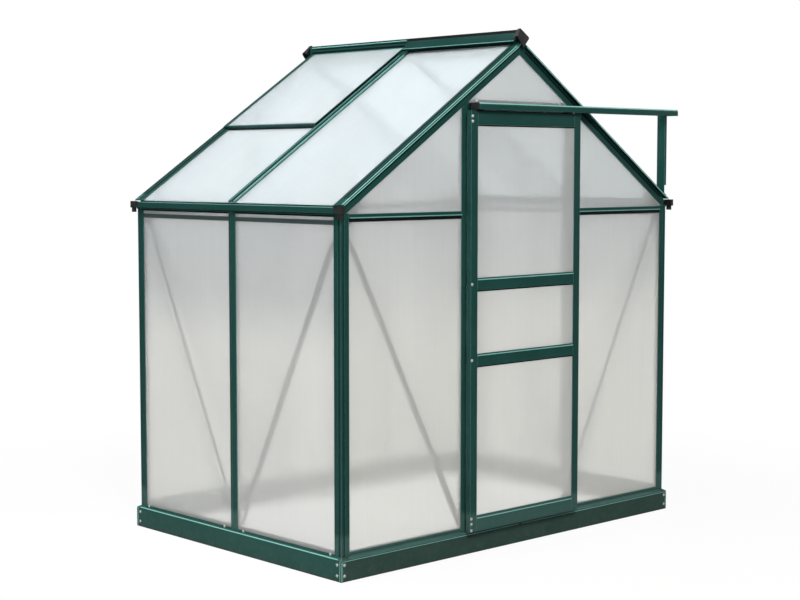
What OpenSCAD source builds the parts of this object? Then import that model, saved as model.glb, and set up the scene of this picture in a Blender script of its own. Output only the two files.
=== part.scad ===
// Walk-in greenhouse: folded steel base frame, extruded aluminium frame, twin-wall
// panes, a closed roof vent and one door that slides along a track over the doorway.
// The origin is on the ground below the middle of the whole outline. X runs along
// the door gable, the ridge runs along Y and the door gable faces -Y.

/* [Overall size] */
// Width of the base over its two long sides
base_w = 1900; // [1500:10:2600]
// Length of the base over the two gables
base_l = 1308; // [1100:10:2600]
// Height of the roof plane where it meets the side walls
eave_h = 1368; // [1200:1:1700]
// Slope of the roof, in degrees
roof_pitch = 33.7; // [25:0.1:45]

/* [Base frame] */
// Height of the upright face of the base panels
base_face_h = 80; // [50:1:120]
// How far the base panels rise above their upright face
base_rise = 8; // [6:1:30]
// Distance from the base's outer face in to the wall frame
base_inset = 14; // [8:1:30]
// Depth of the shelf that the wall frame stands on, from the outer face
base_shelf = 60; // [50:1:90]
// Depth of the foot that lies on the ground
base_foot = 30; // [20:1:60]
// Thickness of the base sheet
sheet_t = 1.5; // [1:0.1:3]
// Length of each leg of the angles that join the base panels
base_angle_leg = 48; // [30:1:90]

/* [Aluminium bars] */
// Wall thickness of the extruded bars
skin = 2; // [1.5:0.1:3]
// Width of each flange of a corner post
post_w = 39; // [34:1:60]
// Width of the two faces that slope out to a corner post's outer edge
post_nose = 17; // [12:0.5:17]
// Depth from a corner post's flanges in to where those faces begin
post_dip = 5; // [2:0.5:6]
// Width of a glazing bar
bar_w = 41; // [34:1:60]
// Height of the crown along a wall bar's outer face
bar_crown = 5; // [2:0.5:9]
// Height of a roof bar's cap above the roof plane
bar_cap_h = 6.5; // [4:0.5:9]
// Depth of all wall and roof bars, from outer face to inner face
bar_d = 28; // [26:1:45]
// Height of the rails across the gables at the eaves
tie_h = 26; // [20:1:40]
// Height of the lip in front of the gable panes' lower edge
sill_lip = 14; // [11:0.5:18]

/* [Roof] */
// How far the roof stands out past each gable
roof_overhang = 17; // [8:1:40]
// Width of the gutter trough
gutter_w = 30; // [24:1:60]
// Height of the gutter's outer wall
gutter_h = 22; // [16:1:30]
// Length of the roof vent, down the slope
vent_l = 590; // [400:2:700]
// Height of the vent's outer face above the roof plane
vent_h = 15; // [13.5:0.5:17]
// Half of the width of the ridge cover
ridge_half_w = 37; // [34:1:50]
// Height of the ridge cover above the roof planes' crossing line
ridge_rise = 49; // [45:1:60]

/* [Panes] */
// Thickness of the twin-wall panes
pane_t = 4; // [3:0.5:6]
// Clearance between a pane and the lips that hold it
pane_fit = 0.3; // [0.2:0.05:0.5]
// Clearance between a pane's edge and the web it slides up to
pane_edge = 1; // [0.5:0.1:3]

/* [Door] */
// Width of the door
door_w = 632; // [560:2:760]
// Height of the door's lower edge above the ground
door_z = 92; // [60:1:110]
// Height of the door
door_h = 1625; // [1400:1:1800]
// Thickness of the door, front to back
door_d = 22; // [18:1:35]
// Width of the door's upright stiles
stile_w = 36; // [32:1:60]
// Height of the door's two middle rails
door_rail_h = 48; // [40:1:70]
// Height of the door's top rail
door_head_h = 53; // [40:1:90]
// Height of the door's bottom rail
door_foot_h = 63; // [40:1:90]
// Height of the lower middle rail above the door's lower edge
low_rail_z = 646; // [400:1:760]
// Height of the upper middle rail above the door's lower edge
high_rail_z = 939; // [850:1:1200]
// Gap between the door's back and the roof overhang behind it
door_gap = 6; // [5:0.5:20]
// Distance between the centres of the two door posts
doorway_w = 603; // [520:1:720]
// How far open the door is drawn
door_open = 0; // [0:1:590]

/* [Hidden] */

// Clearance between neighbouring bars that are bolted together
fit = 0.3;
// A length that runs past everything, for cutting tools
far = 4000;
$fn = 48;

frame_green = [0.10, 0.27, 0.23];
base_green = [0.14, 0.28, 0.25];
cap_black = [0.09, 0.09, 0.09];
bare_metal = [0.68, 0.71, 0.73];
pane_white = [0.86, 0.89, 0.90, 0.55];

// Driving planes of the frame
frame_w = base_w - 2 * base_inset;
frame_l = base_l - 2 * base_inset;
base_top = base_face_h + base_rise;
roof_run = frame_w / 2;
apex_h = eave_h + roof_run * tan(roof_pitch);
pane_out = skin + pane_fit;
seat = pane_out + pane_t + pane_fit;
pane_in = seat + skin;

// Corner posts and gable rafters: where the panes stop
post_stop = 20;

// Glazing bars
bar_seat_w = 28;
bolt_channel_w = 18;
bolt_channel_d = 10;
bolt_slot_w = 8;

// Gutter, from the side wall's face outward and up; its back wall ends just below the roof
gutter_out = 14;
gutter_hem = 7;
gutter_z = eave_h - 30;
gutter_in = gutter_w - gutter_out;
gutter_back_h = 28;
gutter_cap_l = 30;

// Ridge: depth of its web below the apex, and thickness of the shields at its ends
ridge_web = 50;
ridge_cap_t = 3;

// Gable rafters: beads along the overhang, and a cover that slopes down inward
drip_h = 4;
bead_h = 1.8;
cover_rise = 2.4;
rafter_face = 40;

// Door and its track, from the gable's face forward
track_back = roof_overhang + 1;
door_back = roof_overhang + door_gap;
door_front = door_back + door_d;
track_front = door_front + 21;
track_z = door_z + door_h + 5;
track_h = 26;
track_x0 = -door_w / 2 + 25;
track_x1 = frame_w / 2 - 9;
track_lip_end = door_front - 13;
roller_r = 8;
roller_w = 10;
axle_r = 2.5;
hanger_x = door_w / 2 - 68;
hanger_w = 40;
stop_t = 3;
// The door stops with its edge this far inside the side wall's face
door_travel = frame_w / 2 - door_w / 2 - 30;

// Inner faces of the gussets, which the gable braces are bolted to
gusset_in = bar_d + 2 * fit + skin;

// Rails across the gables
tie_z = eave_h - 59;
tie_web = 12;
stud_x = doorway_w / 2;

// The track stands out further in front than the caps do behind, so the frame is moved
// back until the origin is below the middle of the whole outline
outline_shift = (track_front - max(gutter_cap_l, roof_overhang + fit + ridge_cap_t)) / 2;

// ---------------------------------------------------------------- placing
module at_home() translate([0, outline_shift, 0]) children();

// Each wall is drawn with X along it, Y inward from its outer face and Z up
module front_wall() translate([0, -frame_l / 2, 0]) children();
module back_wall() mirror([0, 1, 0]) front_wall() children();
module right_wall() translate([frame_w / 2, 0, 0]) rotate([0, 0, 90]) children();
module left_wall() mirror([1, 0, 0]) right_wall() children();
module both_sides() { left_wall() children(); right_wall() children(); }
module both_ways() { children(); mirror([1, 0, 0]) children(); }

// Each slope is drawn with X down the slope from the apex, Y along the ridge, Z out
module right_slope() translate([0, 0, apex_h]) rotate([0, roof_pitch, 0]) children();
module left_slope() mirror([1, 0, 0]) right_slope() children();

// A level bar from x0 to x1; its section is drawn as [inward, up]
module level(x0, x1) translate([x0, 0, 0]) rotate([90, 0, 90]) linear_extrude(x1 - x0) children();
// An upright bar from z0 to z1; its section is drawn as [along, inward]
module upright(z0, z1) translate([0, 0, z0]) linear_extrude(z1 - z0) children();
// A flat plate in a wall, from y0 to y1 inward; its outline is drawn as [along, up]
module plate(y0, y1) translate([0, y1, 0]) rotate([90, 0, 0]) linear_extrude(y1 - y0) children();
// A rectangle given by its two corners
module box2(x0, y0, x1, y1) translate([x0, y0]) square([x1 - x0, y1 - y0]);

// ---------------------------------------------------------------- sections
// Corner section: two flanges, a nose between them whose faces slope out to the edge at
// [0, 0], a seat for a pane behind each flange, and a square bolt tube in the inner corner
module corner_section(nose, face_b) {
  dip = nose > 0 ? post_dip : 0;
  k = skin / (1 - dip / (nose + skin));
  for (swap = [0, 1]) mirror([swap, -swap]) {
    reach = swap ? face_b : post_w;
    box2(nose, 0, reach, skin);
    polygon([[0, 0], [nose + skin, dip], [nose + skin, dip + skin], [k, k]]);
    box2(nose, 0, nose + skin, dip + skin);
    box2(post_stop, skin, post_stop + skin, bar_d);
    box2(post_stop + skin, seat, reach, pane_in);
    box2(post_stop + skin, bar_d - skin, bar_d, bar_d);
  }
}

// Crowned cover of a wall bar
module crowned_cover() {
  w = bar_w / 2;
  polygon([[-w, 0], [0, -bar_crown], [w, 0], [w, skin], [-w, skin]]);
}

// Cap of a roof bar: skirts down to the panes with a foot inward, and a bead on both edges
module capped_cover() {
  w = bar_w / 2;
  t = 1.6;
  foot = 7;
  edge = bar_cap_h - 1.5;
  both_ways() {
    box2(w - t, -edge - 1, w, skin);
    box2(w - foot, skin - t, w, skin);
    polygon([[0, -bar_cap_h], [w, -edge], [w, -edge + t], [0, -bar_cap_h + t]]);
  }
  box2(-skin / 2, -bar_cap_h + t / 2, skin / 2, skin);
}

// Channel that holds the bolts' heads, open through a slot in its far side
module bolt_channel() difference() {
  w = bolt_channel_w / 2;
  box2(-w, 0, w, bolt_channel_d);
  box2(-w + skin, skin, w - skin, bolt_channel_d - skin);
  box2(-bolt_slot_w / 2, skin, bolt_slot_w / 2, bolt_channel_d + skin);
}

// Inner part of a glazing bar: a seat for the panes on both sides, and a bolt channel
module bar_core() {
  box2(-skin / 2, 0, skin / 2, bar_d - bolt_channel_d);
  box2(-bar_seat_w / 2, seat, bar_seat_w / 2, pane_in);
  translate([0, bar_d - bolt_channel_d]) bolt_channel();
}
module bar_section() {
  crowned_cover();
  bar_core();
}

// Folded base panel, as [inward from the outer face, up]
module base_section() {
  k = sheet_t / 2;
  polygon([[0, 0], [0, base_face_h], [base_inset, base_top], [base_shelf, base_top],
    [base_shelf, base_top - sheet_t], [base_inset + k, base_top - sheet_t],
    [sheet_t, base_face_h - k], [sheet_t, sheet_t], [base_foot, sheet_t], [base_foot, 0]]);
}

// Inner part of a sill, as [inward, up from the base]
module sill_seat() {
  box2(seat, 0, pane_in, 18);
  box2(bar_d - skin, 0, bar_d, bolt_channel_d);
}

// Side sill, with a low lip that stands out past the panes
module side_sill_section() {
  lip_out = 3;
  box2(-lip_out, 0, bar_d, skin);
  box2(-lip_out, 0, -lip_out + skin, 6);
  sill_seat();
}

// Nose of a gable sill: it lies on the base's slope and hangs in front of its face
nose_out = base_inset + skin;
nose_top = 5.5;
slope = base_rise / base_inset;
module sill_nose(inner) {
  k = skin * norm([1, slope]);
  low = -(base_inset + fit) * slope + fit;
  polygon([[-nose_out, -14], [-nose_out, low + k], [-inner, k + fit - inner * slope],
    [-inner, fit - inner * slope], [-base_inset - fit, low], [-base_inset - fit, -14]]);
}

// Gable sill in a bay: above the nose, a recess and a lip in front of the pane
module bay_sill_section() {
  sill_nose(1);
  box2(-1, 0, bar_d, skin);
  box2(skin - 1.4, 0, skin, sill_lip);
  polygon([[-1, sill_lip - 5.5], [0.4, sill_lip], [skin, sill_lip], [skin, sill_lip - 5.5]]);
}

// Rail between two panes, as [inward, up from its lower edge]
module tie_section() {
  box2(0, tie_web, skin, tie_h);
  box2(skin - 1.2, 0, skin, tie_web);
  polygon([[-4, tie_web - 2], [-4, tie_web + 0.5], [0, tie_web + 3],
    [skin, tie_web + 3], [skin, tie_web - 2]]);
  box2(skin, tie_web, bar_d, tie_web + skin);
  box2(seat, 0, pane_in, tie_h);
  box2(bar_d - skin, tie_web - 6, bar_d, tie_web + skin + 6);
}

module eave_rail_section() {
  difference() {
    box2(pane_in + fit, 0, bar_d - skin, 18);
    box2(pane_in + fit + skin, skin, bar_d, 18 - skin);
  }
}

// Gutter, as [inward from the side wall's face, up from the trough's underside]
module gutter_section() {
  box2(-gutter_out, 0, gutter_in, skin);
  box2(-gutter_out, 0, -gutter_out + skin, gutter_h + skin);
  box2(-gutter_out, gutter_h, -gutter_out + 4, gutter_h + skin);
  box2(-gutter_hem + skin, -gutter_hem, -gutter_hem + 2 * skin, skin);
  box2(gutter_in - skin, 0, gutter_in, gutter_back_h);
}

// Bead with chamfered edges standing out of a flat face, from x0 to x1
module bead(x0, x1, h) polygon([[x0, -skin / 2], [x0, h * 0.6], [x0 + h * 0.5, h],
  [x1 - h * 0.5, h], [x1, h * 0.6], [x1, -skin / 2]]);

// Cover of a gable rafter, as [inward from the gable's face, out of the roof plane]
module rafter_cover() {
  box2(-roof_overhang, -skin, post_w, 0);
  polygon([[0, -skin / 2], [0, cover_rise], [post_w, 0], [post_w, -skin / 2]]);
  bead(-4, 0, bead_h);
  bead(-roof_overhang, -roof_overhang + 3.5, bead_h);
  box2(-roof_overhang, -drip_h, -roof_overhang + skin, 0);
}
module rafter_section() {
  mirror([0, 1]) corner_section(0, rafter_face);
  rafter_cover();
}

// Outside of the ridge cover, as [across, up from the apex]: it curves down from a narrow
// top to a rolled lower edge. A larger inset gives the inside of the cover.
ridge_curve = [[0.135, 1], [0.27, 0.77], [0.46, 0.51], [0.73, 0.27], [1, 0.09]];
ridge_edge = 1.8;
module ridge_outline(inset) {
  right = [for (p = ridge_curve) [ridge_half_w * p.x - inset * 0.9, ridge_rise * p.y - inset * 0.9]];
  w = ridge_half_w - inset * 0.9;
  low = ridge_edge - max(inset, 0);
  polygon(concat([[w, low]], [for (i = [len(right) - 1:-1:0]) right[i]],
    [for (p = right) [-p.x, p.y]], [[-w, low]]));
}

// Track: a box whose upper front edge is chamfered, and its open outline below
track_cut = [5, 8];
module track_outline(inset) polygon([[-track_front + inset, inset],
  [-track_front + inset, track_h - track_cut.y], [-track_front + track_cut.x, track_h - inset],
  [-track_back - inset, track_h - inset], [-track_back - inset, inset]]);
module track_section() difference() {
  track_outline(0);
  track_outline(skin);
  box2(-track_lip_end, -skin, -track_back - skin, skin * 2);
}

// Door stile, as [from its outer edge inward, from the front back]
module stile_section() {
  box2(0, 0, stile_w, skin);
  box2(0, 0, skin, door_d);
  box2(0, door_d - skin, stile_w / 2 + skin, door_d);
  box2(stile_w / 2, 0, stile_w / 2 + skin, door_d);
  box2(stile_w / 2, seat, stile_w - 4, pane_in);
}

// Door rail, as [from the front back, up from its lower edge]; where a pane stands on it
// there is a bead along its face, this far below its top
module door_rail_section(h, pane_below, pane_above, bead_drop) {
  grip = 14;
  if (pane_above) translate([0, h - bead_drop]) rotate(90) bead(-2.5, 2.5, 1.2);
  if (pane_below && pane_above) polygon([[0, 0], [-0.8, 0], [-0.8, 7], [0, 10]]);
  low = pane_below ? grip : 0;
  high = pane_above ? h - grip : h;
  box2(0, 0, skin, h);
  box2(0, low, door_d, low + skin);
  box2(0, high - skin, door_d, high);
  box2(door_d - skin, low, door_d, high);
  if (pane_below) box2(seat, 2, pane_in, low + skin);
  if (pane_above) box2(seat, high - skin, pane_in, h - 2);
}

// ---------------------------------------------------------------- base
// Base panel along X: mitred at both ends, its face cut back for the corner's nose
angle_nose = 8;
module base_panel(len) {
  intersection() {
    difference() {
      level(-len / 2, len / 2) base_section();
      for (s = [-1, 1]) translate([s * len / 2, 0, 0])
        cube([2 * angle_nose, 2 * angle_nose, 2 * base_face_h], center = true);
    }
    linear_extrude(base_top + 1) polygon([[-len / 2 + fit / 2, 0], [len / 2 - fit / 2, 0],
      [len / 2 - base_shelf, base_shelf], [-len / 2 + base_shelf, base_shelf]]);
  }
}

module base_front() at_home() color(base_green)
  translate([0, -base_l / 2, 0]) base_panel(base_w);
module base_back() at_home() color(base_green)
  mirror([0, 1, 0]) translate([0, -base_l / 2, 0]) base_panel(base_w);
module base_right() at_home() color(base_green)
  translate([base_w / 2, 0, 0]) rotate([0, 0, 90]) base_panel(base_l);
module base_left() at_home() color(base_green)
  mirror([1, 0, 0]) translate([base_w / 2, 0, 0]) rotate([0, 0, 90]) base_panel(base_l);

// Corner angle: a fluted nose that shows at the corner, and two legs behind the panels
module nose_outline() {
  n = angle_nose - fit;
  flute = 1.2;
  chamfer = 1.5;
  difference() {
    box2(0, 0, n, n);
    polygon([[-1, -1], [chamfer, -1], [chamfer, 0], [0, chamfer], [-1, chamfer]]);
    for (swap = [0, 1], x = [2.6, 5.2]) mirror([swap, -swap]) box2(x, -1, x + flute, 1);
  }
}
module base_angle() {
  d0 = sheet_t + fit;
  leg_z = sheet_t + 3.5;
  linear_extrude(base_face_h - fit) difference() {
    nose_outline();
    box2(d0 + sheet_t, d0 + sheet_t, far, far);
  }
  translate([0, 0, leg_z]) linear_extrude(base_face_h - 2 * leg_z) {
    box2(d0, d0, base_angle_leg, d0 + sheet_t);
    box2(d0, d0, d0 + sheet_t, base_angle_leg);
  }
}

module base_corner_angles() at_home() color(base_green)
  for (sx = [0, 1]) for (sy = [0, 1]) mirror([sx, 0, 0]) mirror([0, sy, 0])
    translate([-base_w / 2, -base_l / 2, 0]) base_angle();

// ---------------------------------------------------------------- sills
sill_end = post_w + fit;
module side_sills() at_home() color(frame_green) both_sides() both_ways()
  translate([0, 0, base_top]) level(bar_w / 2 + fit, frame_l / 2 - sill_end) side_sill_section();

// Gable sill: one nose from corner to corner, and a bay section between each two uprights
module gable_sill(door_bay) translate([0, 0, base_top]) {
  nose_x = frame_w / 2 - post_w + 13;
  level(-nose_x, nose_x) sill_nose(nose_top);
  both_ways() level(stud_x + bar_w / 2 + fit, frame_w / 2 - sill_end) {
    bay_sill_section();
    sill_seat();
  }
  level(-stud_x + bar_w / 2 + fit, stud_x - bar_w / 2 - fit) {
    bay_sill_section();
    if (!door_bay) sill_seat();
  }
}

module front_sill() at_home() color(frame_green) front_wall() gable_sill(true);
module back_sill() at_home() color(frame_green) back_wall() gable_sill(false);

// ---------------------------------------------------------------- posts and studs
post_top = gutter_z - fit;
module corner_post(sx, sy) at_home() color(frame_green)
  mirror([sx, 0, 0]) mirror([0, sy, 0]) translate([-frame_w / 2, -frame_l / 2, 0])
    upright(base_top + fit, post_top) corner_section(post_nose, post_w);

module post_front_left() corner_post(0, 0);
module post_front_right() corner_post(1, 0);
module post_back_left() corner_post(0, 1);
module post_back_right() corner_post(1, 1);

// A side stud's crown is cut away behind the gutter's hem
module side_studs() at_home() color(frame_green) both_sides() difference() {
  upright(base_top + fit, post_top) bar_section();
  translate([-bar_w, -bar_w, gutter_z - gutter_hem - fit]) cube([2 * bar_w, bar_w, far]);
}

// Half of the gable that lies below the rafters by the given depth
module below_rafters(depth) {
  drop = depth / cos(roof_pitch);
  plate(-200, 200) polygon([[-far, 0], [far, 0], [far, apex_h - drop - far * tan(roof_pitch)],
    [0, apex_h - drop], [-far, apex_h - drop - far * tan(roof_pitch)]]);
}

module gable_studs() intersection() {
  both_ways() translate([stud_x, 0, 0]) upright(base_top + fit, apex_h) bar_section();
  below_rafters(rafter_face + fit);
}

module door_posts() at_home() color(frame_green) front_wall() gable_studs();
module back_studs() at_home() color(frame_green) back_wall() gable_studs();

// ---------------------------------------------------------------- rails across the gables
module tie_rail(with_middle) translate([0, 0, tie_z]) {
  both_ways() level(stud_x + bar_w / 2 + fit, frame_w / 2 - post_w - fit) tie_section();
  if (with_middle) level(-stud_x + bar_w / 2 + fit, stud_x - bar_w / 2 - fit) tie_section();
}

module tie_rail_front() at_home() color(frame_green) front_wall() tie_rail(false);
module tie_rail_back() at_home() color(frame_green) back_wall() tie_rail(true);

module eave_rails() at_home() color(frame_green) both_sides() both_ways()
  translate([0, 0, tie_z - 14]) level(bolt_channel_w / 2 + fit, frame_l / 2 - gusset_in) eave_rail_section();

// ---------------------------------------------------------------- gutters
gutter_l = frame_l - 2 * fit;
module gutter() translate([0, 0, gutter_z]) level(-gutter_l / 2, gutter_l / 2) gutter_section();
module gutter_left() at_home() color(frame_green) left_wall() gutter();
module gutter_right() at_home() color(frame_green) right_wall() gutter();

// End cap of a gutter: a block, a sleeve around the gutter's outer corner, a short outlet
cap_out = gutter_out + 2;
module gutter_cap() translate([0, 0, gutter_z]) {
  level(fit, gutter_cap_l) box2(-cap_out, -2, -2, gutter_h + 3);
  level(-20, gutter_cap_l) box2(-cap_out, -2, -gutter_out - fit, gutter_h + 3);
  level(-20, gutter_cap_l) box2(-cap_out, -2, -gutter_hem + skin - fit, -fit);
  level(fit, gutter_cap_l - 8) box2(-gutter_out, -20, -gutter_out + 8, -2);
}
module gutter_caps() at_home() color(cap_black) both_sides() both_ways()
  translate([frame_l / 2, 0, 0]) gutter_cap();

// ---------------------------------------------------------------- roof
// Space between two upright planes across the gable, above a level
module roof_span(x0, x1, z0) translate([x0, -far / 2, z0]) cube([x1 - x0, far, far]);

rafter_low = frame_w / 2 - gutter_in - fit;
slope_l = roof_run / cos(roof_pitch) + 60;
// The covers run on over the gutter; the parts below them stop at its back wall
module rafter_pair() for (s = [0, 1]) mirror([s, 0, 0]) {
  intersection() {
    translate([0, -frame_l / 2, 0]) right_slope() level(-60, slope_l) rafter_section();
    roof_span(fit / 2, rafter_low, gutter_z + fit);
  }
  intersection() {
    translate([0, -frame_l / 2, 0]) right_slope() level(0, slope_l) rafter_cover();
    roof_span(rafter_low - 20, frame_w / 2, gutter_z + fit);
  }
}
module gable_rafters_front() at_home() color(frame_green) rafter_pair();
module gable_rafters_back() at_home() color(frame_green) mirror([0, 1, 0]) rafter_pair();

ridge_arm = 30;
cover_x = 14;
module roof_bar() {
  intersection() {
    right_slope() level(0, slope_l) mirror([0, 1]) capped_cover();
    roof_span(cover_x, frame_w / 2, gutter_z);
  }
  intersection() {
    right_slope() level(0, slope_l) mirror([0, 1]) bar_core();
    roof_span(ridge_arm + 4, rafter_low, gutter_z);
  }
}

// Vent, down the slope and along the ridge
vent_y0 = bar_w / 2 + fit;
vent_y1 = frame_l / 2 - 12;
module slope_box(u0, u1, y0, y1, z0, z1) translate([u0, y0, z0]) cube([u1 - u0, y1 - y0, z1 - z0]);
// Cross bar under the vent's lower edge, between the middle bar and the back rafter
module vent_bar() left_slope() {
  u = vent_l - 12;
  y1 = frame_l / 2 - post_w - fit;
  slope_box(u, u + 16, vent_y0, y1, -pane_out, -pane_fit);
  slope_box(u, u + skin, vent_y0, y1 - 4, -pane_in, -pane_fit);
  slope_box(u, u + 24, bar_seat_w / 2 + fit, y1, -pane_in, -seat);
}
module roof_bars() at_home() color(frame_green) {
  both_ways() roof_bar();
  vent_bar();
}

// Behind the middle bar the ridge cover's left side is cut away above the vent's hinge
// strip, and a small hood covers the strip's upper edge
ridge_core_l = frame_l - 2 * post_w - 2 * fit;
hinge_y0 = -5;
hinge_x = vent_h * sin(roof_pitch) + fit;
hinge_t = 1.6;
hinge_low = vent_h * cos(roof_pitch) - 1.7;
hinge_z = ridge_rise - 8;
hood_t = 1.6;
module along_ridge(y0, y1) translate([0, y1, apex_h]) rotate([90, 0, 0]) linear_extrude(y1 - y0) children();
module ridge_shell() difference() {
  ridge_outline(0);
  ridge_outline(skin);
}
module ridge() at_home() color(frame_green) {
  along_ridge(-frame_l / 2, hinge_y0) ridge_shell();
  along_ridge(hinge_y0, frame_l / 2) difference() {
    ridge_shell();
    box2(-far, -far, 0, hinge_z + fit);
  }
  along_ridge(hinge_y0, vent_y1) box2(-hinge_x - hinge_t - 1, hinge_z + fit, -6, hinge_z + fit + hood_t);
  along_ridge(-ridge_core_l / 2, ridge_core_l / 2) {
    box2(-skin / 2, -ridge_web, skin / 2, ridge_rise - skin / 2);
    translate([0, -ridge_web]) mirror([0, 1]) bolt_channel();
    for (s = [0, 1]) mirror([s, 0]) rotate(-roof_pitch) intersection() {
      box2(-10, -pane_in, ridge_arm, -seat);
      rotate(roof_pitch) box2(0, -far, far, far);
    }
  }
}

// Ridge cap: a shield in front of the rafters' ends, whose upper part leans back over the
// ridge's end, and a sleeve over the ridge's upper slopes
cap_top = [3, ridge_rise + 4.5];
cap_side = [ridge_half_w - 6, 19];
cap_sleeve_l = 9;
cap_sleeve_t = 2.4;
cap_lean = 29;
module ridge_cap_outline() {
  shield = [[9, -11], [cap_side.x - 2, 11], cap_side, cap_top];
  polygon(concat([[0, -25]], shield, [for (i = [len(shield) - 1:-1:0]) [-shield[i].x, shield[i].y]]));
}
module sleeve_outline(drop) {
  low = cap_side + [2, -3];
  polygon([[-low.x, low.y - drop], [-cap_top.x, cap_top.y - drop], [cap_top.x, cap_top.y - drop],
    [low.x, low.y - drop], if (drop > 0) [low.x, -far], if (drop > 0) [-low.x, -far]]);
}
module ridge_cap() difference() {
  union() {
    linear_extrude(ridge_cap_t) ridge_cap_outline();
    translate([0, 0, -roof_overhang]) linear_extrude(roof_overhang + ridge_cap_t) difference() {
      ridge_cap_outline();
      both_ways() rotate(-roof_pitch) box2(-2 * ridge_half_w, -far, far, bead_h + fit);
    }
    translate([0, 0, -roof_overhang - cap_sleeve_l]) linear_extrude(cap_sleeve_l + 1) difference() {
      sleeve_outline(0);
      sleeve_outline(cap_sleeve_t);
      ridge_outline(-fit);
    }
  }
  translate([-far / 2, cap_side.y, ridge_cap_t]) rotate([-cap_lean, 0, 0]) cube(far);
}
module ridge_caps() at_home() color(cap_black) for (s = [0, 1]) mirror([0, s, 0])
  translate([0, -frame_l / 2 - roof_overhang - fit, apex_h]) rotate([90, 0, 0]) ridge_cap();

// ---------------------------------------------------------------- doorway and track
lintel_low = track_z - 7;
lintel_high = track_z + 40;
module lintel_gusset() plate(bar_d + fit, bar_d + fit + skin)
  polygon([[stud_x + 6, lintel_high - 2], [stud_x - 60, lintel_high - 2], [stud_x + 6, lintel_high - 68]]);
module door_lintel() at_home() color(frame_green) front_wall() {
  level(-stud_x + bar_w / 2 + fit, stud_x - bar_w / 2 - fit) {
    box2(pane_in, lintel_low, pane_in + skin, lintel_high);
    box2(-track_back + fit, track_z, pane_in + skin, track_z + skin);
    box2(-track_back + fit, track_z + track_h - skin, pane_in + skin, track_z + track_h);
    box2(-track_back + fit, track_z, -track_back + fit + skin, track_z + track_h);
    box2(pane_in, lintel_high - skin, bar_d, lintel_high);
    box2(pane_in, lintel_low, bar_d, lintel_low + skin);
  }
  both_ways() lintel_gusset();
}

module door_track() at_home() color(frame_green) front_wall()
  translate([0, 0, track_z]) level(track_x0, track_x1) track_section();

module track_stops() at_home() color(cap_black) front_wall() translate([0, 0, track_z])
  for (x = [track_x0 - fit - stop_t, track_x1 + fit]) level(x, x + stop_t) track_outline(0);

// A glazing bar, turned to face along the gable, holds the track's open end above the
// roof's corner; only its cover reaches down to the rafter, where it ends in a foot
support_x = frame_w / 2 - 33;
support_core_z = gutter_z + 87;
over_rafter = cover_rise + fit;
module track_support() at_home() color(frame_green) front_wall() difference() {
  union() {
    translate([support_x, -track_back + fit + bar_w / 2, 0]) mirror([1, 0, 0]) rotate([0, 0, 90]) {
      upright(gutter_z, track_z + track_h) crowned_cover();
      upright(support_core_z, track_z + track_h) bar_core();
    }
    translate([0, frame_l / 2, 0]) right_slope()
      translate([support_x / cos(roof_pitch) - 4, -frame_l / 2 - 15, over_rafter]) cube([24, 30, skin]);
  }
  translate([0, frame_l / 2, 0]) right_slope()
    translate([0, -far / 2, over_rafter - far]) cube([far, far, far]);
}

// ---------------------------------------------------------------- vent
// The vent's pane lies below lips on its far and lower rails, on a narrow seat all around
vent_rail = 19;
vent_lip = 1.3;
vent_low = 2.5;
vent_seat_w = 4;
vent_pane_z = vent_h - vent_lip - pane_fit - pane_t;
vent_seat_z = vent_pane_z - pane_fit - skin;
module vent_frame() at_home() color(frame_green) {
  in_y = vent_y1 - vent_rail;
  left_slope() {
    // near web, far rail, upper web and lower rail
    slope_box(0, vent_l, vent_y0, vent_y0 + skin, vent_low, vent_h);
    slope_box(0, vent_l, vent_y1 - skin, vent_y1, vent_low, vent_h);
    slope_box(0, vent_l, in_y - vent_seat_w, vent_y1, vent_h - vent_lip, vent_h);
    slope_box(0, vent_l, in_y, in_y + skin, vent_seat_z, vent_h);
    slope_box(0, skin, vent_y0, vent_y1, vent_low, vent_h);
    slope_box(vent_l - skin, vent_l, vent_y0, vent_y1, vent_low, vent_h);
    slope_box(vent_l - skin, vent_l, vent_y0, frame_l / 2 - post_w - fit, 0, vent_h);
    slope_box(vent_l - 6, vent_l, vent_y0, vent_y1, vent_h - vent_lip, vent_h);
    // seat
    difference() {
      slope_box(0, vent_l, vent_y0, in_y + skin, vent_seat_z, vent_seat_z + skin);
      slope_box(skin + vent_seat_w, vent_l - skin - vent_seat_w,
        vent_y0 + skin + vent_seat_w, in_y - vent_seat_w, 0, vent_h);
    }
  }
  // hinge strip up to the ridge
  translate([-hinge_x - hinge_t, hinge_y0 + fit, apex_h + hinge_low])
    cube([hinge_t, vent_y1 - hinge_y0 - fit, hinge_z - hinge_low]);
}
module vent_pane() at_home() color(pane_white) left_slope()
  slope_box(skin + pane_edge, vent_l - skin - pane_edge,
    vent_y0 + skin + pane_edge, vent_y1 - vent_rail - pane_edge, vent_pane_z, vent_pane_z + pane_t);

// ---------------------------------------------------------------- panes
roof_pane_low = (frame_w / 2 - 4) / cos(roof_pitch);
roof_y1 = frame_l / 2 - post_stop - skin - pane_edge;
roof_y0 = skin / 2 + pane_edge + 2;
module roof_pane(u0, y0, y1) translate([u0, y0, -pane_out - pane_t])
  cube([roof_pane_low - u0, y1 - y0, pane_t]);
module roof_panes() at_home() color(pane_white) {
  for (s = [0, 1]) mirror([s, 0, 0]) right_slope() roof_pane(12, -roof_y1, -roof_y0);
  right_slope() roof_pane(12, roof_y0, roof_y1);
  left_slope() roof_pane(vent_l - 10 + skin + pane_edge, roof_y0, roof_y1);
}

pane_low = base_top + skin + 0.5;
module wall_pane(x0, x1, z0, z1) plate(pane_out, pane_out + pane_t) box2(x0, z0, x1, z1);

side_pane_x1 = frame_l / 2 - post_stop - skin - pane_edge;
module side_panes() at_home() color(pane_white) both_sides() both_ways()
  wall_pane(roof_y0, side_pane_x1, pane_low, gutter_z - 4);

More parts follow.
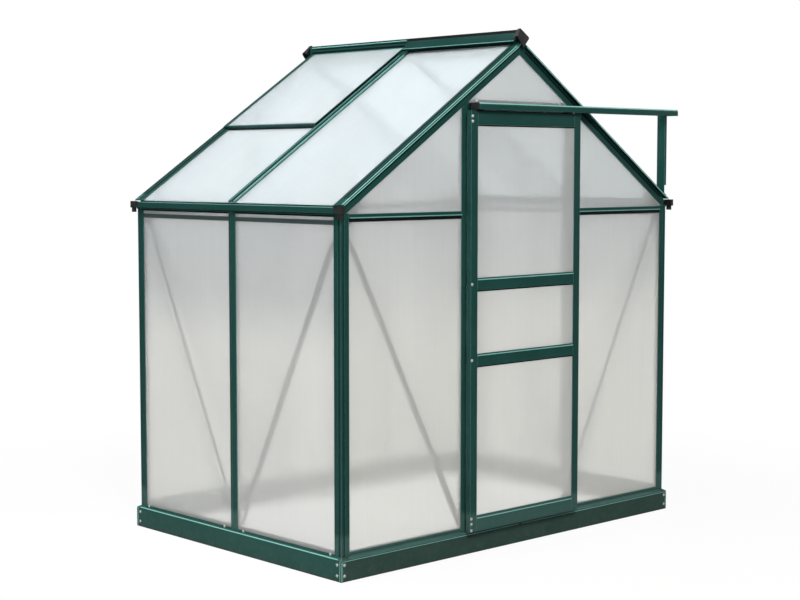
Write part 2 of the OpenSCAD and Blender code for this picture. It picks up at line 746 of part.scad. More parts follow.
gable_x0 = stud_x + roof_y0;
gable_x1 = frame_w / 2 - post_stop - skin - pane_edge;
module front_panes() at_home() color(pane_white) front_wall() both_ways()
  wall_pane(gable_x0, gable_x1, pane_low, tie_z + tie_web - 0.5);
module back_panes() at_home() color(pane_white) back_wall() {
  both_ways() wall_pane(gable_x0, gable_x1, pane_low, tie_z + tie_web - 0.5);
  wall_pane(-stud_x + roof_y0, stud_x - roof_y0, pane_low, tie_z + tie_web - 0.5);
}

upper_z = tie_z + tie_web + skin + 0.5;
module upper_panes(middle_z) intersection() {
  union() {
    both_ways() wall_pane(gable_x0, gable_x1, upper_z, apex_h);
    wall_pane(-stud_x + roof_y0, stud_x - roof_y0, middle_z, apex_h);
  }
  below_rafters(post_stop + skin + pane_edge);
}
module gable_panes() at_home() color(pane_white) {
  front_wall() upper_panes(track_z + track_h + 0.5);
  back_wall() upper_panes(upper_z);
}

// ---------------------------------------------------------------- braces and gussets
brace_w = 18;
brace_t = 1.5;
brace_leg = 12;
brace_high = tie_z - 30;
brace_low = base_top + 20;
brace_end = 40;
// Angle strip across a bay, from high on a post to low on a stud, on a face this deep
module brace(x0, x1, depth) {
  run = norm([x1 - x0, brace_low - brace_high]);
  cut = 60;
  translate([x0, depth, brace_high]) rotate([0, -atan2(brace_low - brace_high, x1 - x0), 0]) {
    translate([0, 0, -brace_w / 2]) cube([run, brace_t, brace_w]);
    translate([cut, -brace_leg, -brace_w / 2]) cube([run - 2 * cut, brace_leg + brace_t, brace_t]);
  }
}
module side_braces() at_home() color(bare_metal) both_sides() both_ways()
  brace(frame_l / 2 - brace_end, 16, bar_d + fit);
module gable_braces() at_home() color(bare_metal) {
  front_wall() both_ways() brace(frame_w / 2 - brace_end, stud_x + 2, gusset_in);
  back_wall() both_ways() brace(frame_w / 2 - brace_end, stud_x + 2, gusset_in);
}

module gusset() {
  x0 = frame_w / 2 - gutter_in - 2;
  plate(bar_d + fit, bar_d + fit + skin) polygon([[x0, tie_z - 5], [x0, eave_h - 24],
    [x0 - 68, eave_h + 28], [x0 - 106, eave_h + 16], [x0 - 84, tie_z + tie_h],
    [x0 - 66, tie_z], [x0 - 22, brace_high - 20], [x0, brace_high - 20]]);
}
module eave_gussets() at_home() color(frame_green) {
  front_wall() both_ways() gusset();
  back_wall() both_ways() gusset();
}

// ---------------------------------------------------------------- door
// The door is drawn with X along it, Y back from its front face, Z up from its lower edge
module door_place() translate([min(door_open, door_travel), -frame_l / 2 - door_front, door_z]) children();
module door_stiles() at_home() color(frame_green) door_place() both_ways()
  translate([door_w / 2, 0, 0]) mirror([1, 0, 0]) upright(0, door_h) stile_section();

door_in = door_w / 2 - stile_w - fit;
module door_rail(z) translate([0, 0, z]) level(-door_in, door_in) children();
module door_rails() at_home() color(frame_green) door_place() {
  door_rail(0) door_rail_section(door_foot_h, false, true, 12);
  door_rail(low_rail_z) door_rail_section(door_rail_h, true, true, 7);
  door_rail(high_rail_z) door_rail_section(door_rail_h, true, true, 7);
  door_rail(door_h - door_head_h) door_rail_section(door_head_h, true, false, 0);
}

door_grip = 13.5;
door_pane_x = door_w / 2 - stile_w / 2 - skin - pane_edge;
module door_panes() at_home() color(pane_white) door_place() plate(pane_out, pane_out + pane_t) {
  box2(-door_pane_x, door_foot_h - door_grip, door_pane_x, low_rail_z + door_grip);
  box2(-door_pane_x, low_rail_z + door_rail_h - door_grip, door_pane_x, high_rail_z + door_grip);
  box2(-door_pane_x, high_rail_z + door_rail_h - door_grip, door_pane_x, door_h - door_head_h + door_grip);
}

// Hangers stand on the door's top rail; their axles reach forward over the track's lip
hanger_y = door_front - track_lip_end + 5;
roller_z = track_z + skin + roller_r + fit - door_z;
module door_hangers() at_home() color(frame_green) door_place() both_ways() translate([hanger_x, 0, 0]) {
  translate([-hanger_w / 2, hanger_y - 0.5, door_h + fit]) cube([hanger_w, skin + 1, skin]);
  translate([-hanger_w / 2, hanger_y, door_h + fit]) cube([hanger_w, skin, track_h - 4]);
  for (x = [-hanger_w / 4, hanger_w / 4]) translate([x, hanger_y + skin, roller_z]) rotate([90, 0, 0])
    cylinder(r = axle_r, h = hanger_y + skin - 2);
}
module door_rollers() at_home() color(cap_black) door_place() both_ways() translate([hanger_x, 0, 0])
  for (x = [-hanger_w / 4, hanger_w / 4]) translate([x, hanger_y - 2, roller_z]) rotate([90, 0, 0])
    difference() {
      cylinder(r = roller_r, h = roller_w);
      translate([0, 0, -1]) cylinder(r = axle_r + fit, h = roller_w + 2);
    }

base_front();
base_back();
base_left();
base_right();
base_corner_angles();
side_sills();
front_sill();
back_sill();
post_front_left();
post_front_right();
post_back_left();
post_back_right();
side_studs();
door_posts();
back_studs();
tie_rail_front();
tie_rail_back();
eave_rails();
gutter_left();
gutter_right();
gutter_caps();
gable_rafters_front();
gable_rafters_back();
roof_bars();
ridge();
ridge_caps();
door_lintel();
door_track();
track_stops();
track_support();
vent_frame();
vent_pane();
roof_panes();
side_panes();
front_panes();
back_panes();
gable_panes();
side_braces();
gable_braces();
eave_gussets();
door_stiles();
door_rails();
door_panes();
door_hangers();
door_rollers();
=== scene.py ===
from math import cos, pi, radians, sin

import bpy
import numpy as np
from mathutils import Matrix, Vector


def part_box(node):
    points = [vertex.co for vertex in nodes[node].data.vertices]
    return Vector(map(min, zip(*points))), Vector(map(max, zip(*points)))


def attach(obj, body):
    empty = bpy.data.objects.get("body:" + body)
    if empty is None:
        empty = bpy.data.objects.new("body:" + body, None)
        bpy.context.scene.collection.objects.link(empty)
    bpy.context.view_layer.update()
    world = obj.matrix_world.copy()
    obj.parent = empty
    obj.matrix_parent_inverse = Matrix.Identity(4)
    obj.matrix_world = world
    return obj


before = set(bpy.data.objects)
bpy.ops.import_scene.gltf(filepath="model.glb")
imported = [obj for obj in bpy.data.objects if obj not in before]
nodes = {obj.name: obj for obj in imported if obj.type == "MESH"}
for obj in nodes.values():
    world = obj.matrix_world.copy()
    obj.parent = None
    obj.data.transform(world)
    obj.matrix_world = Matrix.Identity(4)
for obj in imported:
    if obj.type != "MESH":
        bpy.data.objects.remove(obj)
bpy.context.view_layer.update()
print("frame loaded:", len(nodes), "nodes")

scene = bpy.context.scene


# a node's lowest and highest corner, as arrays
def boxOf(name):
    low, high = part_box(name)
    return np.array(low), np.array(high)


# the frame's middle lies a little off the origin, because the door's track stands out in front
midY = (boxOf("base_front")[0][1] + boxOf("base_back")[1][1]) / 2


# small helpers for the node trees; at is where a node stands in the editor
def newMaterial(name):
    mat = bpy.data.materials.new(name)
    mat.use_nodes = True
    mat.node_tree.nodes.clear()
    return mat, mat.node_tree


# values are the node's own settings, or its inputs with _ for a space
def node(tree, kind, at=(0, 0), **values):
    n = tree.nodes.new(kind)
    n.location = at
    for key, value in values.items():
        if hasattr(n, key):
            setattr(n, key, value)
        else:
            n.inputs[key.replace("_", " ")].default_value = value
    return n


def link(tree, a, b):
    tree.links.new(a, b)


# one sum on a, b and c, which are numbers or sockets
def maths(tree, op, a, b=None, at=(0, 0), clamp=False, c=None):
    n = node(tree, "ShaderNodeMath", at, operation=op, use_clamp=clamp)
    for i, v in enumerate((a, b, c)):
        if v is None:
            continue
        if isinstance(v, (int, float)):
            n.inputs[i].default_value = v
        else:
            tree.links.new(v, n.inputs[i])
    return n.outputs[0]


def mixColour(tree, factor, a, b, at=(0, 0), blend="MIX"):
    n = node(tree, "ShaderNodeMix", at, data_type="RGBA", blend_type=blend)
    for socket, v in ((n.inputs[0], factor), (n.inputs[6], a), (n.inputs[7], b)):
        if isinstance(v, (int, float)):
            socket.default_value = v
        elif isinstance(v, tuple):
            socket.default_value = (*v, 1)
        else:
            tree.links.new(v, socket)
    return n.outputs[2]


def mixShader(tree, factor, a, b, at=(0, 0)):
    n = node(tree, "ShaderNodeMixShader", at)
    if isinstance(factor, (int, float)):
        n.inputs[0].default_value = factor
    else:
        link(tree, factor, n.inputs[0])
    link(tree, a.outputs[0], n.inputs[1])
    link(tree, b.outputs[0], n.inputs[2])
    return n


# a bump of this strength and depth on each of the shaders, over a bent normal if there is one
def addBump(tree, height, strength, depth, shaders, at, normal=None):
    bump = node(tree, "ShaderNodeBump", at, Strength=strength, Distance=depth)
    link(tree, height, bump.inputs["Height"])
    if normal:
        link(tree, normal, bump.inputs["Normal"])
    for shader in shaders:
        link(tree, bump.outputs[0], shader.inputs["Normal"])


# what every solid finish starts with: a Principled shader, and the Object coordinates
def startSkin(name):
    mat, tree = newMaterial(name)
    out = node(tree, "ShaderNodeOutputMaterial", (1300, 0))
    skin = node(tree, "ShaderNodeBsdfPrincipled", (1000, 0))
    link(tree, skin.outputs[0], out.inputs[0])
    where = node(tree, "ShaderNodeTexCoord", (-900, 0)).outputs["Object"]
    return mat, tree, skin, where


# middle - spread / 2 + spread * value: a noise from 0 to 1 swings the result round the middle
def swing(tree, value, middle, spread, at=(0, 0)):
    return maths(tree, "MULTIPLY_ADD", value, spread, at, c=middle - spread / 2)


# noise on Object coordinates; a small number in stretch draws it out along that axis
def noise(tree, coords, size, detail=3, rough=0.5, at=(0, 0), stretch=None):
    if stretch:
        mapping = node(tree, "ShaderNodeMapping", (at[0] - 200, at[1]))
        mapping.inputs["Scale"].default_value = stretch
        link(tree, coords, mapping.inputs[0])
        coords = mapping.outputs[0]
    n = node(tree, "ShaderNodeTexNoise", at, Scale=size, Detail=detail, Roughness=rough)
    link(tree, coords, n.inputs["Vector"])
    return n.outputs["Fac"]


# stops are (place, shade), a shade being a grey or a colour
def ramp(tree, value, stops, at=(0, 0)):
    n = node(tree, "ShaderNodeValToRGB", at)
    band = n.color_ramp
    while len(band.elements) < len(stops):
        band.elements.new(0.5)
    for element, (place, shade) in zip(band.elements, stops):
        element.position = place
        element.color = (*shade, 1) if isinstance(shade, tuple) else (shade, shade, shade, 1)
    tree.links.new(value, n.inputs[0])
    return n.outputs[0]


# powder coat on the frame, and the base's paint; colours are linear, lengths in metres. What
# they share: the noises' sizes, the colour of the painted shade in a groove, the dust anywhere
# and what the ground adds, how high the painted light from the ground reaches, how sharply the
# painted light on the lowest rails ends, and how much the scuffs and the orange peel do. In each
# look, "low" is the colour of that painted light from the ground, and the colour mixed in at
# the edges is a painted highlight
coatGrain = {"cloudSize": 6, "peelSize": 520, "scuffSize": 45, "grooveShade": (0.001, 0.004, 0.004),
             "dustLeast": 0.03, "dustHeap": 0.35, "bounceTo": 1.6, "footSharp": 40,
             "scuffRough": 0.16, "peelDepth": 0.0008}
frameCoat = {"colour": (0.011, 0.058, 0.050), "paler": (0.015, 0.069, 0.061),
             "low": (0.050, 0.118, 0.104), "lowest": 0.165, "bounce": 0.10,
             "dust": (0.14, 0.16, 0.14), "splash": 0.35,
             "highlight": (0.14, 0.36, 0.33), "highlightShare": 0.8, "corner": 0.0020,
             "hollow": 0.016, "hollowShade": 0.75,
             "roughness": 0.30, "gloss": 0.20, "tint": (0.40, 1.0, 0.97), "peel": 0.05}
# the ridge's copy of the powder coat is darker and less glossy: painted shade
ridgeShadedCoat = {**frameCoat, "colour": (0.007, 0.040, 0.034), "paler": (0.010, 0.048, 0.042),
             "gloss": 0.14}
# the beads' copy of the coat is pale and glossier: a painted highlight along the beads
beadHighlightCoat = {"colour": (0.26, 0.62, 0.57), "paler": (0.31, 0.70, 0.65),
            "low": (0.26, 0.62, 0.57), "lowest": 0.1, "bounce": 0,
            "dust": (0.40, 0.50, 0.46), "splash": 0.35,
            "highlight": (0.32, 0.70, 0.65), "highlightShare": 0.5, "corner": 0.0006,
            "hollow": 0.004, "hollowShade": 0.3,
            "roughness": 0.24, "gloss": 0.35, "tint": (0.80, 1.0, 0.98), "peel": 0.03}
baseCoat = {"colour": (0.031, 0.070, 0.058), "paler": (0.039, 0.081, 0.068),
            "low": (0.035, 0.075, 0.063), "lowest": 0.01, "bounce": 0,
            "dust": (0.16, 0.17, 0.15), "splash": 0.09,
            "highlight": (0.22, 0.40, 0.38), "highlightShare": 0.7, "corner": 0.0024,
            "hollow": 0.010, "hollowShade": 0.6,
            "roughness": 0.40, "gloss": 0.22, "tint": (0.80, 1.0, 0.96), "peel": 0.06}
# the sides' copy of the base paint is paler and more teal, as painted light; the front and back
# keep the greyer copy, as painted shade
baseLitSideCoat = {**baseCoat, "colour": (0.022, 0.090, 0.076), "paler": (0.028, 0.104, 0.088)}


# the Bevel node bends the normal near an edge: how far it bends marks the edges that get a
# painted highlight, and the Ambient Occlusion node marks the grooves that get painted shade
def greenCoat(name, look):
    mat, tree, skin, where = startSkin(name)
    cloud = noise(tree, where, coatGrain["cloudSize"], 4, 0.55, (-500, 200))
    fine = noise(tree, where, coatGrain["peelSize"], 2, 0.5, (-500, -50))
    scuff = noise(tree, where, coatGrain["scuffSize"], 6, 0.7, (-500, -300))
    pale = ramp(tree, cloud, [(0.35, 0.0), (0.68, 1.0)], (-200, 200))
    body = mixColour(tree, pale, look["colour"], look["paler"], (0, 200))
    # painted light from the ground: the coat is painted paler towards the ground, and most of all
    # on the lowest rails
    split = node(tree, "ShaderNodeSeparateXYZ", (-700, -500))
    link(tree, where, split.inputs[0])
    height = split.outputs["Z"]
    drop, sharp = -1 / coatGrain["bounceTo"], coatGrain["footSharp"]
    bounce = maths(tree, "MULTIPLY_ADD", height, drop, (-200, 500), True, 1.0)
    bounce = maths(tree, "MULTIPLY", bounce, look["bounce"], (0, 500))
    edge = sharp * look["lowest"] + 0.5
    foot = maths(tree, "MULTIPLY_ADD", height, -sharp, (-200, 650), True, edge)
    groundLight = maths(tree, "MAXIMUM", foot, bounce, (100, 600))
    body = mixColour(tree, groundLight, body, look["low"], (150, 300))
    # dust lies thicker near the ground and in blotches above it
    low = maths(tree, "MULTIPLY_ADD", height, -1 / look["splash"], (-400, -500), True, 1.0)
    heap, least = coatGrain["dustHeap"], coatGrain["dustLeast"]
    weight = maths(tree, "MULTIPLY_ADD", low, heap, (-200, -500), c=least)
    dust = maths(tree, "MULTIPLY", ramp(tree, scuff, [(0.48, 0.0), (0.8, 1.0)]), weight, (0, -300))
    body = mixColour(tree, dust, body, look["dust"], (250, 150))
    # painted highlight: a pale colour is mixed in where the Bevel node bends the normal, along
    # every edge
    rounded = node(tree, "ShaderNodeBevel", (0, -500), samples=6, Radius=look["corner"])
    flat = node(tree, "ShaderNodeNewGeometry", (0, -700)).outputs["True Normal"]
    bend = node(tree, "ShaderNodeVectorMath", (200, -600), operation="DOT_PRODUCT")
    link(tree, rounded.outputs[0], bend.inputs[0])
    link(tree, flat, bend.inputs[1])
    bent = maths(tree, "SUBTRACT", 1.0, bend.outputs["Value"], (350, -600))
    highlightMask = ramp(tree, bent, [(0.01, 0.0), (0.12, 1.0)], (450, -700))
    highlightShare = maths(tree, "MULTIPLY", highlightMask, look["highlightShare"], (600, -600))
    body = mixColour(tree, highlightShare, body, look["highlight"], (600, 150))
    # painted shade: where the Ambient Occlusion node finds a groove or gap, the colour goes near
    # black and the gloss drops
    hollow = look["hollow"]
    grooveShade = node(tree, "ShaderNodeAmbientOcclusion", (300, 400), samples=6, Distance=hollow)
    deep = ramp(tree, grooveShade.outputs["AO"], [(0.35, 1.0), (0.85, 0.0)], (450, 500))
    shade = maths(tree, "MULTIPLY", deep, look["hollowShade"], (600, 400))
    body = mixColour(tree, shade, body, coatGrain["grooveShade"], (800, 200))
    link(tree, body, skin.inputs["Base Color"])
    rough = swing(tree, scuff, look["roughness"], coatGrain["scuffRough"], (250, -100))
    link(tree, rough, skin.inputs["Roughness"])
    gloss = maths(tree, "MULTIPLY_ADD", shade, -look["gloss"], (800, 0), c=look["gloss"])
    skin.inputs["Specular IOR Level"].default_value = look["gloss"]
    link(tree, gloss, skin.inputs["Specular IOR Level"])
    skin.inputs["Specular Tint"].default_value = (*look["tint"], 1)
    peelDepth = coatGrain["peelDepth"]
    addBump(tree, fine, look["peel"], peelDepth, [skin], (300, -350), rounded.outputs[0])
    return mat


# moulded black plastic of the caps, stops and rollers, and the glazing rubber, whose black strips
# also lie along shade lines as painted shade
sealAndShadeLook = {"colour": (0.003, 0.004, 0.004), "paler": (0.008, 0.010, 0.010),
            "roughness": 0.60, "gloss": 0.12}
capLook = {"colour": (0.014, 0.014, 0.016), "paler": (0.040, 0.040, 0.042),
           "roughness": 0.46, "gloss": 0.35}
mouldGrain = {"size": 700, "strength": 0.12, "depth": 0.0006, "corner": 0.0009,
              "bleachSize": 30, "bleachRough": 0.2}


# sun has bleached it in blotches, and the mould left a fine grain
def mouldedPlastic(name, look):
    mat, tree, skin, where = startSkin(name)
    mould = mouldGrain
    grain = noise(tree, where, mould["size"], 2, 0.5, (-500, -100))
    bleach = noise(tree, where, mould["bleachSize"], 4, 0.6, (-500, 200))
    faded = ramp(tree, bleach, [(0.45, 0.0), (0.85, 1.0)])
    link(tree, mixColour(tree, faded, look["colour"], look["paler"]), skin.inputs["Base Color"])
    rough = swing(tree, bleach, look["roughness"], mould["bleachRough"])
    link(tree, rough, skin.inputs["Roughness"])
    skin.inputs["Specular IOR Level"].default_value = look["gloss"]
    rounded = node(tree, "ShaderNodeBevel", (-200, -500), samples=4, Radius=mould["corner"])
    strength, depth = mould["strength"], mould["depth"]
    addBump(tree, grain, strength, depth, [skin], (100, -300), rounded.outputs[0])
    return mat


# bare metal of the braces and bolts; stretch draws the marks out along the strips
braceLook = {"colour": (0.12, 0.135, 0.15), "dull": (0.08, 0.09, 0.10),
             "roughness": 0.46, "stretch": (6, 6, 0.5)}
boltLook = {"colour": (0.97, 0.98, 0.97), "dull": (0.86, 0.88, 0.86),
            "roughness": 0.42, "stretch": (4, 4, 4)}
drawnMarks = {"size": 160, "strength": 0.1, "depth": 0.0005, "rough": 0.24,
              "tarnishSize": 12, "metallic": 0.9}


# dull patches and drawing marks on plain metal
def millMetal(name, look):
    mat, tree, skin, where = startSkin(name)
    marks = drawnMarks
    drawn = noise(tree, where, marks["size"], 3, 0.6, (-500, -100), look["stretch"])
    cloud = noise(tree, where, marks["tarnishSize"], 4, 0.6, (-500, 200))
    tarnish = ramp(tree, cloud, [(0.35, 0.0), (0.7, 1.0)])
    link(tree, mixColour(tree, tarnish, look["colour"], look["dull"]), skin.inputs["Base Color"])
    rough = swing(tree, drawn, look["roughness"], marks["rough"])
    link(tree, rough, skin.inputs["Roughness"])
    skin.inputs["Metallic"].default_value = marks["metallic"]
    addBump(tree, drawn, marks["strength"], marks["depth"], [skin], (100, -300))
    return mat


# twin-wall panes: rough clear plastic with milk in it, and fine ribs; "from" and "to" are the
# heights between which a pane takes its "high" tone, a painted shade, and "rail" those of a rail
# behind it, which is painted on the pane as a dark band of shade.
# Streaks are drawn out upright: their size, how many times narrower, and how much longer
paneLook = {"ribPitch": 0.0057, "ribDepth": 0.00016, "ribBump": 0.6, "railSharp": 500,
            "roughness": 0.11, "roughSpread": 0.10, "milk": 0.45, "milkSpread": 0.06,
            "streakSize": 2.2, "streakNarrow": 40, "streakLong": 0.6, "streakWave": 0.8,
            "cloudSize": 2.3, "ior": 1.22}
sideTint = {"clear": (0.955, 0.955, 0.94), "shade": (0.92, 0.92, 0.91),
            "high": (0.86, 0.87, 0.885), "from": 0.80, "to": 1.05,
            "rail": (1.2955, 1.3125), "railShadeTone": (0.20, 0.27, 0.27)}
gableTint = {"clear": (0.965, 0.96, 0.935), "shade": (0.93, 0.93, 0.91),
             "high": (0.88, 0.895, 0.915), "from": 0.75, "to": 1.35}
roofTint = {"clear": (0.93, 0.975, 1.0), "shade": (0.90, 0.955, 0.985), "high": (1.0, 1.0, 1.0),
            "from": 1.5, "to": 2.0}


# the ribs are a sine of the place across the pane, and only bend the light a little; the
# milk is a white body that is lit from the outer side and soaked through from the inner one
def twinWall(name, tint, across, look):
    mat, tree = newMaterial(name)
    out = node(tree, "ShaderNodeOutputMaterial", (1500, 0))
    clear = node(tree, "ShaderNodeBsdfPrincipled", (800, 200))
    chalk = node(tree, "ShaderNodeBsdfDiffuse", (800, -300))
    soak = node(tree, "ShaderNodeBsdfTranslucent", (800, -450))
    where = node(tree, "ShaderNodeTexCoord", (-1100, 0)).outputs["Object"]
    split = node(tree, "ShaderNodeSeparateXYZ", (-900, -200))
    link(tree, where, split.inputs[0])
    turn = maths(tree, "MULTIPLY", split.outputs[across], 2 * pi / look["ribPitch"], (-700, -200))
    rib = maths(tree, "SINE", turn, None, (-500, -200))
    narrow, long = look["streakNarrow"], look["streakLong"]
    stretch = {"X": (narrow, 1, long), "Y": (1, narrow, long)}[across]
    streak = noise(tree, where, look["streakSize"], 5, 0.7, (-500, 100), stretch)
    cloud = noise(tree, where, look["cloudSize"], 3, 0.5, (-500, 350))
    mixed = maths(tree, "MULTIPLY", streak, 0.5, (-250, 200))
    mixed = maths(tree, "MULTIPLY_ADD", cloud, 0.5, (-100, 250), c=mixed)
    shaded = ramp(tree, mixed, [(0.35, 0.0), (0.65, 1.0)], (50, 150))
    tone = mixColour(tree, shaded, tint["clear"], tint["shade"], (250, 100))
    # painted shade: the panes are painted a little darker towards the eaves
    rise = node(tree, "ShaderNodeMapRange", (0, 500), interpolation_type="SMOOTHSTEP")
    rise.inputs["From Min"].default_value = tint["from"]
    rise.inputs["From Max"].default_value = tint["to"]
    link(tree, split.outputs["Z"], rise.inputs["Value"])
    tone = mixColour(tree, rise.outputs["Result"], tone, tint["high"], (450, 300), "MULTIPLY")
    # painted shade: where a rail touches the pane from behind, a dark band with soft edges is
    # painted on the pane
    if "rail" in tint:
        low, high = tint["rail"]
        sharp = look["railSharp"]
        edge = sharp * (high - low) / 2 + 0.5
        off = maths(tree, "SUBTRACT", split.outputs["Z"], (low + high) / 2, (300, 700))
        off = maths(tree, "ABSOLUTE", off, None, (450, 700))
        band = maths(tree, "MULTIPLY_ADD", off, -sharp, (600, 700), True, edge)
        tone = mixColour(tree, band, tone, tint["railShadeTone"], (700, 400))
    for skin, socket in ((clear, "Base Color"), (chalk, "Color"), (soak, "Color")):
        link(tree, tone, skin.inputs[socket])
    rough = swing(tree, streak, look["roughness"], look["roughSpread"], (300, -100))
    link(tree, rough, clear.inputs["Roughness"])
    clear.inputs["IOR"].default_value = look["ior"]
    clear.inputs["Transmission Weight"].default_value = 1.0
    # a few streaks are milkier than the rest
    milky = swing(tree, streak, look["milk"], look["milkSpread"], (600, -600))
    body = mixShader(tree, 0.5, chalk, soak, (1050, -300))
    both = mixShader(tree, milky, clear, body, (1300, 0))
    link(tree, both.outputs[0], out.inputs[0])
    wave = maths(tree, "MULTIPLY_ADD", streak, look["streakWave"], (0, -300), c=rib)
    addBump(tree, wave, look["ribBump"], look["ribDepth"], [clear, chalk], (450, -300))
    return mat


frameGreen = greenCoat("green powder coat", frameCoat)
ridgeShadedGreen = greenCoat("green powder coat, ridge, painted darker", ridgeShadedCoat)
baseGreen = greenCoat("green base paint", baseCoat)
baseLitSideGreen = greenCoat("green base paint, sides, painted lighter", baseLitSideCoat)
beadHighlightGreen = greenCoat("green powder coat, rubbed beads", beadHighlightCoat)
capBlack = mouldedPlastic("black moulded plastic", capLook)
sealAndShadeRubber = mouldedPlastic("black glazing rubber and painted shade", sealAndShadeLook)
braceMetal = millMetal("mill finish aluminium", braceLook)
boltMetal = millMetal("zinc plated steel", boltLook)
sidePane = twinWall("twin-wall pane, side", sideTint, "Y", paneLook)
gablePane = twinWall("twin-wall pane, gable", gableTint, "X", paneLook)
roofPane = twinWall("twin-wall pane, roof", roofTint, "Y", paneLook)

# which nodes take which finish; all the others are frameGreen
finishes = {
    # the ridge takes the darker copy of the coat, as painted shade
    ridgeShadedGreen: ["ridge"],
    baseGreen: ["base_front", "base_back"],
    # the base's sides and corner angles take the paler copy of the base paint, as painted light
    baseLitSideGreen: ["base_left", "base_right", "base_corner_angles"],
    capBlack: ["gutter_caps", "ridge_caps", "track_stops", "door_rollers"],
    braceMetal: ["side_braces", "gable_braces"],
    sidePane: ["side_panes"],
    gablePane: ["front_panes", "back_panes", "gable_panes", "door_panes"],
    roofPane: ["roof_panes", "vent_pane"],
}
finishOf = {name: mat for mat, names in finishes.items() for name in names}
for name, piece in nodes.items():
    if not piece.material_slots:
        piece.data.materials.append(None)
    for spot in piece.material_slots:
        spot.material = finishOf.get(name, frameGreen)
print("finishes on", len(nodes), "nodes")


# bolts: a round head on a thin washer, in metres
boltSize = {"washerR": 0.0062, "washerT": 0.0005, "headR": 0.0046, "headH": 0.0014, "sides": 16}
# where they are, in mm with y from the frame's middle
boltPlaces = {"baseX": 950, "baseY": 654, "inFromCorner": (16, 24), "baseRows": (22, 62),
              "sill": [(939, 580, 91), (939, 60, 91)], "lintel": (239, 637.7, 1756),
              "door": (309, 685), "doorRows": (98, 124, 144, 762, 1055, 1677, 1697)}


# profile (r, h) swept round an axis: each point is (r cos a, r sin a, h) for an angle a, and
# the dome is r = R cos t, h = washer + H (0.35 + 0.65 sin t) for t from 0 to a quarter turn
def turnedHead(size):
    t = np.linspace(0, pi / 2, 5)[:-1]
    washer, top = size["washerT"], size["headH"]
    rim, head = size["washerR"], size["headR"]
    r = np.r_[rim, rim, rim * 0.94, head, head * np.cos(t)]
    h = np.r_[0, washer * 0.8, washer, washer, washer + top * (0.35 + 0.65 * np.sin(t))]
    n = size["sides"]
    a = np.arange(n) * 2 * pi / n
    rings = np.stack([r[:, None] * np.cos(a), r[:, None] * np.sin(a), h[:, None] + 0 * a], -1)
    verts = np.r_[rings.reshape(-1, 3), [[0, 0, washer + top]], [[0, 0, 0]]]
    i, j = np.meshgrid(np.arange(len(r) - 1), np.arange(n), indexing="ij")
    k = (j + 1) % n
    quads = np.stack([i * n + j, i * n + k, (i + 1) * n + k, (i + 1) * n + j], -1).reshape(-1, 4)
    j = np.arange(n)
    k = (j + 1) % n
    last = (len(r) - 1) * n
    cap = np.stack([last + j, last + k, np.full(n, len(verts) - 2)], -1)
    foot = np.stack([k, j, np.full(n, len(verts) - 1)], -1)
    return verts, quads, np.r_[cap, foot]


# each copy is p' = spot + x u + y v + z w, with w the way it points and u, v square to it
def placedCopies(shape, spots, ways):
    verts, quads, triangles = shape
    spot, w = np.array(spots, float), np.array(ways, float)
    w /= np.linalg.norm(w, axis=1)[:, None]
    up = np.where(np.abs(w[:, 2:3]) > 0.9, [[1.0, 0, 0]], [[0, 0, 1.0]])
    u = np.cross(up, w)
    u /= np.linalg.norm(u, axis=1)[:, None]
    v = np.cross(w, u)
    placed = spot[:, None] + verts[None, :, :1] * u[:, None] + verts[None, :, 1:2] * v[:, None] \
        + verts[None, :, 2:] * w[:, None]
    shift = np.arange(len(spot))[:, None, None] * len(verts)
    faceSets = [(quads + shift).reshape(-1, 4), (triangles + shift).reshape(-1, 3)]
    return placed.reshape(-1, 3), faceSets


# a mesh of these corners and faces, riding on a body
def addMesh(name, verts, faceSets, mat, body, smooth=True):
    mesh = bpy.data.meshes.new(name)
    mesh.from_pydata(verts.tolist(), [], [f for faceSet in faceSets for f in faceSet.tolist()])
    mesh.polygons.foreach_set("use_smooth", np.full(len(mesh.polygons), smooth))
    mesh.update()
    piece = bpy.data.objects.new(name, mesh)
    scene.collection.objects.link(piece)
    mesh.materials.append(mat)
    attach(piece, body)
    print(name + ":", len(mesh.polygons), "faces")
    return piece


# places are given in mm with y from the frame's middle; this gives metres in the frame
def inFrame(points):
    return np.asarray(points, float) / 1000 + [0, midY, 0]


# the same rows again on the other side of the middle, for each axis named: p' = p with that
# coordinate turned over, for places and directions alike
def mirrored(rows, axes):
    rows = np.array(rows, float)
    for axis in axes:
        turn = np.ones(3)
        turn["xyz".index(axis)] = -1
        rows = np.concatenate([rows, rows * turn])
    return rows


# rows of (place, way it points); the mirrored copies come after the first ones
def addBolts(name, rows, axes, body):
    rows = mirrored(rows, axes)
    verts, faceSets = placedCopies(turnedHead(boltSize), inFrame(rows[:, 0]), rows[:, 1])
    addMesh(name, verts, faceSets, boltMetal, body)


front, left = (0, -1, 0), (-1, 0, 0)
baseX, baseY = boltPlaces["baseX"], boltPlaces["baseY"]
frontIn, sideIn = boltPlaces["inFromCorner"]
doorX, doorY = boltPlaces["door"]
corner = [((frontIn - baseX, -baseY, z), front) for z in boltPlaces["baseRows"]]
corner += [((-baseX, sideIn - baseY, z), left) for z in boltPlaces["baseRows"]]
addBolts("base_bolts", corner, "xy", "greenhouse")
addBolts("sill_bolts", [((-x, -y, z), left) for x, y, z in boltPlaces["sill"]], "xy", "greenhouse")
x, y, z = boltPlaces["lintel"]
addBolts("lintel_bolts", [((x, -y, z), front)], "x", "greenhouse")
addBolts("door_bolts", [((-doorX, -doorY, z), front) for z in boltPlaces["doorRows"]], "", "door")


